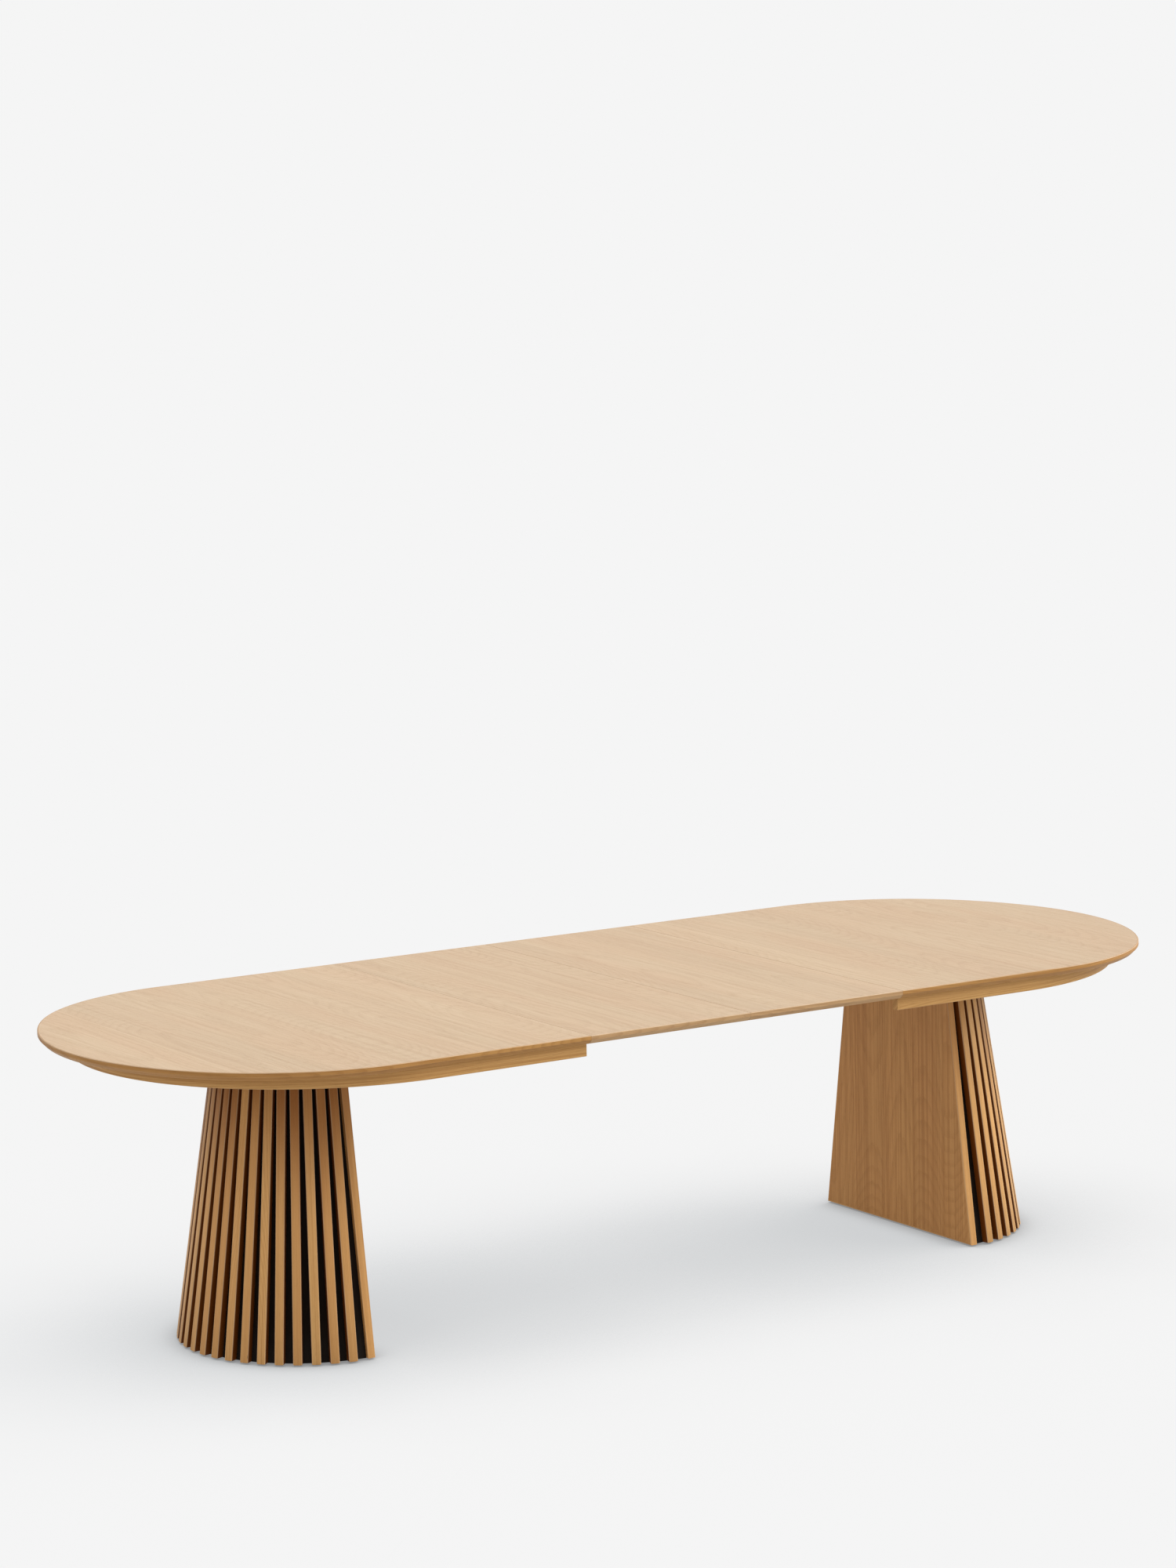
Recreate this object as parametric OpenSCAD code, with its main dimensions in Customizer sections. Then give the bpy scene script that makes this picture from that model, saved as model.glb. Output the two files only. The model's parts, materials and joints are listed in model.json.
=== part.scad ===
// Extendable dining table. Two D-shaped half tops, each on a slatted half-round
// pedestal, pull apart on a geared slide frame and take two loose leaves between them.
// X runs along the table, Z is up, and the origin is on the floor under the middle.

/* [Top] */
// Height of the tabletop over the floor
table_h = 760; // [740:1:780]
// Width across the straight sides
top_w = 1200; // [1160:10:1240]
// Thickness of the half tops and leaves
top_t = 20; // [18:1:22]
// Slope cut under the edge of the top, at 45 degrees
edge_bevel = 10; // [6:1:12]
// Length of the straight side of each half top
straight_len = 500; // [480:10:540]
// Length of the rounded end of each half top
end_len = 550; // [530:10:570]

/* [Leaves] */
// Length of one loose leaf, along the table
leaf_len = 450; // [430:5:460]
// Thickness of the cleats under a leaf
cleat_h = 18; // [14:1:18]
// Width of a cleat along the table
cleat_w = 30; // [20:1:40]

/* [Apron] */
// Height of the apron under the half tops
apron_h = 32; // [30:1:34]
// Thickness of the apron
apron_t = 20; // [16:1:24]
// Distance from the top's straight edge in to the apron
apron_inset = 22; // [18:1:26]
// Distance from the tip of the top in to the apron's half-round end
apron_nose_inset = 72; // [66:1:78]

/* [Pedestal] */
// Distance from the seam out to the flat face of a pedestal
panel_x = 430; // [420:5:440]
// Width of the flat panel at the floor
panel_w_low = 620; // [600:5:640]
// Width of the flat panel at the top
panel_w_high = 414; // [400:2:430]
// Thickness of the flat panel
panel_t = 20; // [16:1:24]
// Outer radius of the slats at the floor
slat_r_low = 320; // [312:1:330]
// Outer radius of the slats at the top
slat_r_high = 214; // [208:1:220]
// Number of slats round the half cone
slat_count = 21; // [17:2:21]
// Angle from one slat to the next, in degrees
slat_pitch = 7.9; // [7.5:0.1:8]
// Width of a slat
slat_w = 22; // [16:1:23]
// Depth of a slat, out from the dark core
slat_d = 18; // [14:1:20]
// Thickness of the core's bent wall
core_t = 6; // [4:1:8]
// Height of the glides under a pedestal
glide_h = 4; // [3:1:6]
// Radius of a glide
glide_r = 16; // [12:1:20]

/* [Slide frame] */
// Length of the two centre rails
rail_len = 1500; // [1400:10:1500]
// Distance from the middle to the inner side of a rail
rail_y = 237; // [230:1:240]
// Width of a rail, and of a runner beside it
rail_w = 26; // [24:1:28]
// Depth of the runner's tongue in the rail's groove
tongue_d = 8; // [6:1:10]
// Height of the tongue
tongue_h = 8; // [6:1:10]
// Thickness of the cross bars and the mounting plates
plate_t = 12; // [10:1:12]
// Distance from the middle to the outer cross bars
cross_x = 230; // [200:5:260]

/* [Gearing] */
// Gear module of the pinion and both racks
gear_module = 3; // [2.5:0.5:3.5]
// Number of teeth on the pinion, a multiple of four
pinion_teeth = 20; // [20:4:28]
// Thickness of the pinion and the racks
gear_t = 10; // [8:1:12]
// Play between the teeth, along the pitch line
backlash = 0.4; // [0.3:0.05:0.6]
// Radius of the pinion's axle
axle_r = 6; // [5:0.5:8]

/* [Locks and pegs] */
// Distance of the seam locks from the table's long axis
lock_y = 140; // [130:5:150]
// Distance from a lock's pivot to the stud that it holds
hook_r = 45; // [42:1:48]
// Radius of the locating pegs
peg_r = 4; // [3:0.5:5]
// Distance that a peg stands out of its edge
peg_out = 18; // [14:1:20]

/* [Hidden] */
$fn = 64;

// Colours
pale_oak = [0.86, 0.76, 0.62];
honey_oak = [0.72, 0.56, 0.38];
dark_oak = [0.58, 0.42, 0.27];
core_black = [0.06, 0.06, 0.06];
beech = [0.80, 0.64, 0.46];
birch_ply = [0.82, 0.70, 0.52];
steel = [0.62, 0.63, 0.65];
nylon = [0.16, 0.16, 0.16];
felt = [0.45, 0.43, 0.40];

// Heights
top_z = table_h - top_t;             // underside of the tops and leaves
under_z = top_z - apron_h;           // underside of the aprons and runners
plate_z = under_z - plate_t;         // underside of the mounting plates, top of the pedestals
rail_gap = 1;                        // air round the centre rails
rail_low = under_z + rail_gap;
rail_high = top_z - rail_gap;
groove_z = (rail_low + rail_high) / 2;
pad_h = 0.8;
gear_z = under_z + 14;               // underside of the pinion and racks
peg_z = top_z + top_t / 2;

// Plan of the rounded end: a nose arc between two side arcs, all tangent. The line through
// the arcs' centres runs in the direction [4, 3] / 5, which fixes both radii.
half_w = top_w / 2;
bend_x = leaf_len + straight_len;
join = [4 / 5, 3 / 5];
bend_k = (half_w - end_len) / 2;
side_y = 3 * bend_k;
side_r = half_w - side_y;
nose_r = side_r + 5 * bend_k;
nose_x = bend_x - 4 * bend_k;
to_middle = 2 * top_w;
edge_fn = 360;                       // fine enough for radii over half a metre

// Apron: straight along the sides, then a plain half circle
apron_r = half_w - apron_inset;
apron_bend_x = leaf_len + straight_len + end_len - apron_nose_inset - apron_r;

// Pedestal
axis_x = leaf_len + panel_x;         // cone axis, in the flat panel's inner face
ped_h = plate_z - glide_h;
inner_board_t = 18;
rib_z = glide_h + ped_h / 2;
inner_gap = 0.5;

// Slide frame
runner_y = rail_y + rail_w + rail_gap;
runner_start = leaf_len + 20;
runner_len = 820;
tongue_gap = 0.3;
cross_w = 40;
cross_xs = [-cross_x, 0, cross_x];
plate_len = 260;
plate_half_w = runner_y + rail_w;
pad_xs = [for (s = [-1, 1]) for (f = [0.27, 0.73]) s * f * leaf_len];
cleat_fractions = [1 / 3, 2 / 3];
cleat_y = 70;
cleat_gap = 3;                       // between a cleat's end and the rail

// Gearing
pitch_r = gear_module * pinion_teeth / 2;
tooth_pitch = PI * gear_module;
pressure_a = 20;
addendum = gear_module;
dedendum = 1.25 * gear_module;
base_r = pitch_r * cos(pressure_a);
flank_steps = 6;
rack_y = -pitch_r - dedendum;        // root line of the +X half's rack
rack_back = 11;
rack_past = 40;
rack_foot_len = 120;
stop_len = 12;
stop_gap = 1;
running_gap = 0.05;
hub_gap = 1;

// Locks: each lever turns on a pivot beside its seam and hooks a stud past the seam
pivot_back = 25;
lock_plate_t = 3;
lock_pin_r = 4;
stud_r = 3.5;
hook_gap = 0.5;
hook_span = 16;
lever_t = 4;
lever_z = top_z - 11;
handle_len = 55;
handle_w = 14;
head_h = 2;

// Fasteners
screw_r = 3;
screw_head_r = 6;
screw_head_h = 3;
bolt_r = 4;
bolt_head_r = 7;
bolt_head_h = 5;
hole_gap = 0.1;
plate_screw_xs = [30, plate_len / 2, plate_len - 30];
plate_screws = [for (x = plate_screw_xs) for (s = [-1, 1])
    [axis_x + x, s * (runner_y + rail_w / 2)]];
pedestal_bolts = [for (x = [50, 130]) for (s = [-1, 1]) [axis_x + x, s * 90]];
frame_screws = [for (x = cross_xs) for (s = [-1, 1]) [x, s * (rail_y + rail_w / 2)]];
glide_ring = 250;                    // distance of the glides from the cone's axis
glide_spots = concat(
    [for (s = [-1, 1]) [panel_t + 25, s * glide_ring]],
    [for (a = [-45, 0, 45]) glide_ring * [cos(a), sin(a)]]);
peg_ys = [-480, -160, 160, 480];

// ---------- shared shapes ----------

// Everything on the +X side is drawn as it is; the -X side is its mirror image
module on_side(s) {
    if (s < 0) mirror([1, 0, 0]) children();
    else children();
}

// Full disc or ring of a section round a centre on the D plan, kept between two directions
module edge_arc(centre, r, section, from, to) {
    intersection() {
        translate([centre[0], centre[1], 0]) rotate_extrude($fn = edge_fn)
            polygon([for (p = section) [max(0, r - p[0]), p[1]]]);
        translate([centre[0], centre[1], -1]) linear_extrude(table_h + 2)
            polygon([[0, 0], 2 * r * from, 2 * r * to]);
    }
}

// Section carried round the D-shaped edge: straight sides, side arcs and nose arc.
// A section point is [distance in from the edge, height].
module edge_sweep(section) {
    for (m = [0, 1]) mirror([0, m, 0]) {
        translate([leaf_len, 0, 0]) rotate([90, 0, 90]) linear_extrude(straight_len)
            polygon([for (p = section) [max(0, half_w - p[0]), p[1]]]);
        edge_arc([bend_x, side_y], side_r, section, join, [0, 1]);
    }
    edge_arc([nose_x, 0], nose_r, section, [join[0], -join[1]], join);
}

// Holes for the pegs, into the edge at x, depth mm towards dir
module peg_holes(x, dir, depth, gap) {
    for (y = peg_ys) translate([x, y, peg_z]) rotate([0, dir * 90, 0])
        translate([0, 0, -1]) cylinder(h = depth + 1, r = peg_r + gap);
}

// Cylinders standing on z at a list of places
module posts(places, z, h, r) {
    for (p = places) translate([p[0], p[1], z]) cylinder(h = h, r = r);
}

// Screws or bolts with their heads below z
module fasteners(places, z, h, r, head_r, head_h) {
    posts(places, z - head_h, head_h, head_r);
    posts(places, z - 0.5, h + 0.5, r);
}

// Radius of the core's outer face at height z
function core_r(z) = slat_r_low - slat_d + (slat_r_high - slat_r_low) * (z - glide_h) / ped_h;

// ---------- tops, leaves and aprons ----------

module half_top(s) {
    color(pale_oak) on_side(s) difference() {
        edge_sweep([[to_middle, top_z], [edge_bevel, top_z], [0, top_z + edge_bevel],
            [0, table_h], [to_middle, table_h]]);
        if (s < 0) peg_holes(leaf_len, 1, peg_out + 2, running_gap);
        else peg_holes(leaf_len, 1, peg_out + 4, 2 * hole_gap);
    }
}

module leaf(s) {
    color(pale_oak) translate([s < 0 ? -leaf_len : 0, 0, 0]) difference() {
        rotate([90, 0, 90]) linear_extrude(leaf_len) polygon([
            [-half_w + edge_bevel, top_z], [half_w - edge_bevel, top_z],
            [half_w, top_z + edge_bevel], [half_w, table_h],
            [-half_w, table_h], [-half_w, top_z + edge_bevel]]);
        peg_holes(0, 1, peg_out + 4, 2 * hole_gap);
        peg_holes(leaf_len, -1, peg_out + 2, running_gap);
    }
}

// Pegs in the edge at x, half in the board and half standing out towards +X
module edge_pegs(x) {
    color(beech) for (y = peg_ys) translate([x - peg_out - 1, y, peg_z]) rotate([0, 90, 0])
        cylinder(h = 2 * peg_out + 1, r = peg_r);
}

module leaf_cleats(s) {
    color(beech) for (f = cleat_fractions) for (m = [0, 1]) mirror([0, m, 0])
        translate([s * f * leaf_len - cleat_w / 2, cleat_y, top_z - cleat_h])
            cube([cleat_w, rail_y - cleat_gap - cleat_y, cleat_h]);
}

// Strip bent round under a half top
module apron(s) {
    color(honey_oak) on_side(s) {
        intersection() {
            translate([apron_bend_x, 0, under_z]) rotate_extrude($fn = edge_fn)
                translate([apron_r - apron_t, 0]) square([apron_t, apron_h]);
            translate([apron_bend_x, -half_w, under_z - 1]) cube([half_w, top_w, apron_h + 2]);
        }
        for (m = [0, 1]) mirror([0, m, 0]) translate([leaf_len, apron_r - apron_t, under_z])
            cube([apron_bend_x - leaf_len, apron_t, apron_h]);
    }
}

// Glue blocks in the corner between the apron and the top
module apron_blocks(s) {
    block = [60, 22, 22];
    inner_r = apron_r - apron_t;
    bend_gap = 1;                    // a flat block clears the bent strip at its ends
    color(beech) on_side(s) for (m = [0, 1]) mirror([0, m, 0]) {
        for (x = [60, 250]) translate([leaf_len + x - block[0] / 2, inner_r - block[1],
            top_z - block[2]]) cube(block);
        for (a = [15, 40, 65]) translate([apron_bend_x, 0, 0]) rotate([0, 0, a])
            translate([inner_r - bend_gap - block[1], -block[0] / 2, top_z - block[2]])
            cube([block[1], block[0], block[2]]);
    }
}

// ---------- slide frame ----------

// Centre rail with a groove along its outer side; s is -1 in front and 1 behind
module centre_rail(s) {
    color(beech) scale([1, s, 1]) difference() {
        translate([-rail_len / 2, rail_y, rail_low])
            cube([rail_len, rail_w, rail_high - rail_low]);
        translate([-rail_len / 2 - 1, rail_y + rail_w - tongue_d - tongue_gap,
            groove_z - tongue_h / 2 - tongue_gap])
            cube([rail_len + 2, tongue_d + 1, tongue_h + 2 * tongue_gap]);
        posts([for (x = cross_xs) [x, rail_y + rail_w / 2]], rail_low - 1, 11,
            screw_r + running_gap);
    }
}

// Runner under a half top, with a tongue in the rail's groove
module runner(side, s) {
    tongue_y = runner_y - rail_gap - tongue_d;
    color(beech) on_side(side) scale([1, s, 1]) difference() {
        union() {
            translate([runner_start, runner_y, under_z])
                cube([runner_len, rail_w, apron_h]);
            translate([runner_start, tongue_y, groove_z - tongue_h / 2])
                cube([runner_len, tongue_d + rail_gap + 2, tongue_h]);
        }
        posts([for (x = plate_screw_xs) [axis_x + x, runner_y + rail_w / 2]],
            under_z - 1, 19, screw_r + running_gap);
    }
}

module cross_bars() {
    color(beech) difference() {
        for (x = cross_xs) translate([x - cross_w / 2, -rail_y - rail_w, rail_low - plate_t])
            cube([cross_w, 2 * (rail_y + rail_w), plate_t]);
        posts(frame_screws, rail_low - plate_t - 1, plate_t + 2, screw_r + hole_gap);
        posts([[0, 0]], rail_low - plate_t - 1, plate_t + 2, axle_r + running_gap);
    }
}

module centre_frame_screws() {
    color(steel) fasteners(frame_screws, rail_low - plate_t, plate_t + 9, screw_r,
        screw_head_r, screw_head_h);
}

// Strips on the rails that the leaves rest on
module leaf_rest_pads() {
    color(felt) for (x = pad_xs) for (s = [-1, 1])
        translate([x - 40, s * (rail_y + rail_w / 2) - 9, rail_high]) cube([80, 18, pad_h]);
}

// Plate that ties the two runners together and carries the pedestal
module mounting_plate(s) {
    color(birch_ply) on_side(s) difference() {
        translate([axis_x, -plate_half_w, plate_z]) cube([plate_len, 2 * plate_half_w, plate_t]);
        posts(plate_screws, plate_z - 1, plate_t + 2, screw_r + hole_gap);
        posts(pedestal_bolts, plate_z - 1, plate_t + 2, bolt_r + hole_gap);
    }
}

module plate_screws(s) {
    color(steel) on_side(s) fasteners(plate_screws, plate_z, plate_t + 17, screw_r,
        screw_head_r, screw_head_h);
}

module pedestal_bolts(s) {
    color(steel) on_side(s) fasteners(pedestal_bolts, plate_z - inner_board_t,
        inner_board_t + plate_t - 1, bolt_r, bolt_head_r, bolt_head_h);
}

// ---------- gearing ----------

// Polar angle of an involute flank at radius r, in degrees
function involute_a(r) =
    let (roll = sqrt(max(0, pow(r / base_r, 2) - 1))) roll * 180 / PI - atan(roll);
function polar(r, a) = [r * cos(a), r * sin(a)];

module sync_pinion() {
    half_a = (tooth_pitch - backlash) / (4 * pitch_r) * 180 / PI + involute_a(pitch_r);
    tip_r = pitch_r + addendum;
    root_r = pitch_r - dedendum;
    flank = [for (i = [0 : flank_steps]) base_r + (tip_r - base_r) * i / flank_steps];
    color(nylon) translate([0, 0, gear_z]) difference() {
        linear_extrude(gear_t) polygon([for (t = [0 : pinion_teeth - 1])
            let (a = t * 360 / pinion_teeth)
            each concat([polar(root_r, a - half_a)],
                [for (r = flank) polar(r, a - half_a + involute_a(r))],
                [for (i = [flank_steps : -1 : 0])
                    polar(flank[i], a + half_a - involute_a(flank[i]))],
                [polar(root_r, a + half_a)])]);
        translate([0, 0, -1]) cylinder(h = gear_t + 2, r = axle_r + running_gap);
    }
}

// Toothed bar of the +X half, on the -Y side of the pinion; the other is turned half round
module rack(s) {
    w = tooth_pitch / 4 - backlash / 4;
    travel_teeth = floor((leaf_len + rack_past) / tooth_pitch);
    past_teeth = floor(rack_past / tooth_pitch);
    tip_w = w - addendum * tan(pressure_a);
    root_w = w + dedendum * tan(pressure_a);
    color(steel) rotate([0, 0, s < 0 ? 180 : 0]) {
        translate([0, 0, gear_z]) linear_extrude(gear_t) {
            translate([-rack_past, rack_y - rack_back])
                square([axis_x + rack_foot_len + rack_past, rack_back]);
            for (i = [-past_teeth : travel_teeth - 1]) translate([(i + 0.5) * tooth_pitch, 0])
                polygon([[-root_w, rack_y], [-tip_w, addendum - pitch_r],
                    [tip_w, addendum - pitch_r], [root_w, rack_y]]);
        }
        translate([axis_x, rack_y - rack_back, under_z])
            cube([rack_foot_len, rack_back, gear_z - under_z + 1]);
        translate([-rack_past, rack_y - rack_back, rail_low + 3])
            cube([rack_past - cross_w / 2, rack_back, gear_z - rail_low - 2]);
    }
}

// Blocks on the middle cross bar that the racks' end tabs meet when the table is fully open
module rack_stops() {
    color(steel) for (a = [0, 180]) rotate([0, 0, a])
        translate([-cross_w / 2, rack_y - rack_back, rail_low])
            cube([stop_len, rack_back, gear_z - stop_gap - rail_low]);
}

module pinion_axle() {
    groove_w = 1.2;
    color(steel) difference() {
        union() {
            translate([0, 0, rail_low - plate_t]) cylinder(
                h = gear_z + gear_t + 4 - rail_low + plate_t, r = axle_r);
            translate([0, 0, rail_low]) cylinder(h = gear_z - hub_gap - rail_low,
                r = axle_r + 4);
        }
        translate([0, 0, gear_z + gear_t + hub_gap]) difference() {
            cylinder(h = groove_w, r = axle_r + 1);
            translate([0, 0, -1]) cylinder(h = groove_w + 2, r = axle_r - 1);
        }
    }
}

// Split ring that keeps the pinion on its axle
module axle_clip() {
    color(nylon) translate([0, 0, gear_z + gear_t + hub_gap + 0.1]) difference() {
        cylinder(h = 1, r = axle_r + 3);
        translate([0, 0, -1]) cylinder(h = 3, r = axle_r - 1 + running_gap);
        translate([0, -2, -1]) cube([axle_r + 4, 4, 3]);
    }
}

// ---------- pedestals ----------

// Half-round board inside the core, from height z, t thick
module inner_board(z, t) {
    intersection() {
        translate([axis_x, 0, z]) cylinder(h = t, r1 = core_r(z) - core_t - inner_gap,
            r2 = core_r(z + t) - core_t - inner_gap);
        translate([axis_x + panel_t, -half_w, z - 1]) cube([top_w, top_w, t + 2]);
    }
}

module pedestal_top(s) {
    color(birch_ply) on_side(s) difference() {
        inner_board(plate_z - inner_board_t, inner_board_t);
        posts(pedestal_bolts, plate_z - inner_board_t - 1, inner_board_t + 2,
            bolt_r + hole_gap);
    }
}

module pedestal_rib(s) {
    color(birch_ply) on_side(s) inner_board(rib_z, inner_board_t);
}

module pedestal_base(s) {
    color(birch_ply) on_side(s) inner_board(glide_h, inner_board_t);
}

module core_shell(s) {
    color(core_black) on_side(s) intersection() {
        translate([axis_x, 0, 0]) rotate_extrude() polygon([
            [core_r(glide_h) - core_t, glide_h], [core_r(glide_h), glide_h],
            [core_r(plate_z), plate_z], [core_r(plate_z) - core_t, plate_z]]);
        translate([axis_x + panel_t, -half_w, 0]) cube([top_w, top_w, table_h]);
    }
}

module inner_panel(s) {
    color(dark_oak) on_side(s) translate([axis_x, 0, 0]) rotate([90, 0, 90])
        linear_extrude(panel_t) polygon([
            [-panel_w_low / 2, glide_h], [panel_w_low / 2, glide_h],
            [panel_w_high / 2, plate_z], [-panel_w_high / 2, plate_z]]);
}

module slats(s) {
    color(honey_oak) on_side(s) translate([axis_x, 0, 0])
        for (i = [0 : slat_count - 1]) rotate([0, 0, (i - (slat_count - 1) / 2) * slat_pitch])
        rotate([90, 0, 0]) translate([0, 0, -slat_w / 2]) linear_extrude(slat_w) polygon([
            [slat_r_low - slat_d, glide_h], [slat_r_low, glide_h],
            [slat_r_high, plate_z], [slat_r_high - slat_d, plate_z]]);
}

module glides(s) {
    color(nylon) on_side(s) posts([for (p = glide_spots) [axis_x + p[0], p[1]]], 0,
        glide_h, glide_r);
}

// ---------- seam locks ----------

// Plate and pivot pin under the board on the -X side of the seam at x
module lock_body(x) {
    pin_low = lever_z - 1 - head_h;
    color(steel) translate([x - pivot_back, -lock_y, 0]) {
        translate([-30, -22, top_z - lock_plate_t]) cube([pivot_back + 24, 44, lock_plate_t]);
        translate([0, 0, pin_low]) cylinder(h = top_z - pin_low, r = lock_pin_r);
        translate([0, 0, pin_low]) cylinder(h = head_h, r = lock_pin_r + 3);
        translate([0, 0, lever_z + lever_t + 1]) cylinder(
            h = top_z - lever_z - lever_t - 1, r = lock_pin_r + 3);
    }
}

// Plate and headed stud under the board on the +X side of the seam at x
module lock_keeper(x) {
    stud_low = lever_z - 1 - head_h;
    color(steel) translate([x - pivot_back + hook_r, -lock_y, 0]) {
        translate([-14, -16, top_z - lock_plate_t]) cube([32, 32, lock_plate_t]);
        translate([0, 0, stud_low]) cylinder(h = top_z - stud_low, r = stud_r);
        translate([0, 0, stud_low]) cylinder(h = head_h, r = stud_r + 3);
    }
}

// Wedge from the pivot between two angles
module wedge(a0, a1, r) {
    polygon([[0, 0], polar(r, a0), polar(r, (a0 + a1) / 2), polar(r, a1)]);
}

// Lever with a hook that swings round the stud: its slot is an arc about the pivot
module lock_lever(x) {
    slot_w = stud_r + hook_gap;
    finger = 5;
    color(steel) translate([x - pivot_back, -lock_y, lever_z]) linear_extrude(lever_t)
        difference() {
        union() {
            circle(r = 12);
            intersection() {
                circle(r = hook_r + slot_w + finger);
                wedge(-hook_span, hook_span, 2 * hook_r);
            }
            translate([-handle_len, -handle_w / 2]) square([handle_len, handle_w]);
            translate([-handle_len, 0]) circle(r = handle_w / 2);
        }
        circle(r = lock_pin_r + running_gap);
        intersection() {
            difference() {
                circle(r = hook_r + slot_w);
                circle(r = hook_r - slot_w);
            }
            wedge(-2 * hook_span, 0, 2 * hook_r);
        }
        translate([hook_r, 0]) circle(r = slot_w);
    }
}

// ---------- one module for each node ----------

module front_centre_rail() centre_rail(-1);
module rear_centre_rail() centre_rail(1);

front_centre_rail();
rear_centre_rail();
cross_bars();
leaf_rest_pads();
centre_frame_screws();
rack_stops();
pinion_axle();
axle_clip();
sync_pinion();

half_top(-1);  // left_top
apron(-1);  // left_apron
apron_blocks(-1);  // left_apron_blocks
runner(-1, -1);  // left_front_runner
runner(-1, 1);  // left_rear_runner
rack(-1);  // left_rack
mounting_plate(-1);  // left_mounting_plate
plate_screws(-1);  // left_plate_screws
pedestal_bolts(-1);  // left_pedestal_bolts
pedestal_top(-1);  // left_pedestal_top
pedestal_rib(-1);  // left_pedestal_rib
pedestal_base(-1);  // left_pedestal_base
core_shell(-1);  // left_core_shell
inner_panel(-1);  // left_inner_panel
slats(-1);  // left_slats
glides(-1);  // left_glides
edge_pegs(-leaf_len);  // left_edge_pegs
lock_body(-leaf_len);  // left_lock_body
lock_lever(-leaf_len);  // left_lock_lever

half_top(1);  // right_top
apron(1);  // right_apron
apron_blocks(1);  // right_apron_blocks
runner(1, -1);  // right_front_runner
runner(1, 1);  // right_rear_runner
rack(1);  // right_rack
mounting_plate(1);  // right_mounting_plate
plate_screws(1);  // right_plate_screws
pedestal_bolts(1);  // right_pedestal_bolts
pedestal_top(1);  // right_pedestal_top
pedestal_rib(1);  // right_pedestal_rib
pedestal_base(1);  // right_pedestal_base
core_shell(1);  // right_core_shell
inner_panel(1);  // right_inner_panel
slats(1);  // right_slats
glides(1);  // right_glides
lock_keeper(leaf_len);  // right_lock_keeper

leaf(-1);  // left_leaf
leaf_cleats(-1);  // left_leaf_cleats
edge_pegs(0);  // left_leaf_pegs
lock_keeper(-leaf_len);  // left_leaf_keeper
lock_body(0);  // centre_lock_body
lock_lever(0);  // centre_lock_lever

leaf(1);  // right_leaf
leaf_cleats(1);  // right_leaf_cleats
edge_pegs(leaf_len);  // right_leaf_pegs
lock_keeper(0);  // right_leaf_keeper
lock_body(leaf_len);  // right_lock_body
lock_lever(leaf_len);  // right_lock_lever
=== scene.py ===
"""The extendable dining table's looks: oak boards, aprons, panels and slats round the CAD frame."""

import json
import math
import random

import bpy
from mathutils import Matrix, Vector


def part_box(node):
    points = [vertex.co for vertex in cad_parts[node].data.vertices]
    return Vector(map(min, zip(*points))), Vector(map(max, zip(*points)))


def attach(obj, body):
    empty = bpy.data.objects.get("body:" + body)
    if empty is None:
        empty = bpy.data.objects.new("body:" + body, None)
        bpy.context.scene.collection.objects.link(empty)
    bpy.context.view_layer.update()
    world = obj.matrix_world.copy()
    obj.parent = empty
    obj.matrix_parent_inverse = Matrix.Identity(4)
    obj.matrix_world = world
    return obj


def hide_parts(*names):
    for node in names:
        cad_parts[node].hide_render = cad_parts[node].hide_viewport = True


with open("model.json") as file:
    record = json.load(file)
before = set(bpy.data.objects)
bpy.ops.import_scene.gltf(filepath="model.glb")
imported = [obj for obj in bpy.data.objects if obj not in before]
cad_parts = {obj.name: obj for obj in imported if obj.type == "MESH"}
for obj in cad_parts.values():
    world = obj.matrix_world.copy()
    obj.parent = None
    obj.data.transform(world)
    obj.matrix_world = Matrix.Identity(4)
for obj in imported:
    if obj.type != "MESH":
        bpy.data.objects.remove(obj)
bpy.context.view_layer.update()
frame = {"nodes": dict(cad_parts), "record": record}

MM = 0.001


# ---------- sizes in metres, from the frame where it has them ----------

TOP_LOW, TOP_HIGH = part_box("right_top")
LEAF_LOW, LEAF_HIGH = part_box("right_leaf")
APRON_LOW, APRON_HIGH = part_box("right_apron")
PANEL_LOW, PANEL_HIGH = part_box("right_inner_panel")
SLATS_LOW, SLATS_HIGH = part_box("right_slats")

# Plan of a half top: its seam, its straight sides and the three arcs round its end.
SEAM_X = TOP_LOW.x
HALF_W = TOP_HIGH.y
STRAIGHT = 0.500
STRAIGHT_STEPS = 4
SIDE_STEPS, NOSE_STEPS = 40, 64

# Edges of every board: a bevel below, and small roundings. At a seam, a gap and an arris instead.
BEVEL = 10 * MM
BOARD_RIM = 2.5 * MM
BOARD_RADII = (1.0 * MM, 2.0 * MM, 1.8 * MM)
SEAM_GAP = 0.15 * MM
SEAM_ARRIS = 1.1 * MM
# Top part of a board's edge, whose arris is lightened as wear and as a painted highlight.
WORN_AND_HIGHLIT_TOP_EDGE = 2 * MM

APRON_T = 20 * MM
APRON_RADII = (1.5 * MM, 1.0 * MM)
APRON_STEPS = 120

# How far the grain runs along for each metre across an apron's end: little, since it is end grain.
END_GRAIN = 0.1

SLAT_COUNT = 21
SLAT_PITCH = math.radians(7.9)
SLAT_W = 22 * MM
SLAT_D = 18 * MM
SLAT_BACK_R, SLAT_FRONT_R = 0.6 * MM, 2.6 * MM
SLAT_CHAMFER = 1.2 * MM

# Outer radius of a row of slats at its foot and its head. Its axis is in the panel's inner face.
SLAT_R_LOW = SLATS_HIGH.x - PANEL_LOW.x
SLAT_R_HIGH = 214 * MM

PANEL_W_HIGH = 414 * MM
PANEL_RIM = 1.5 * MM
PANEL_RADII = (2.4 * MM, 1.2 * MM)

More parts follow.
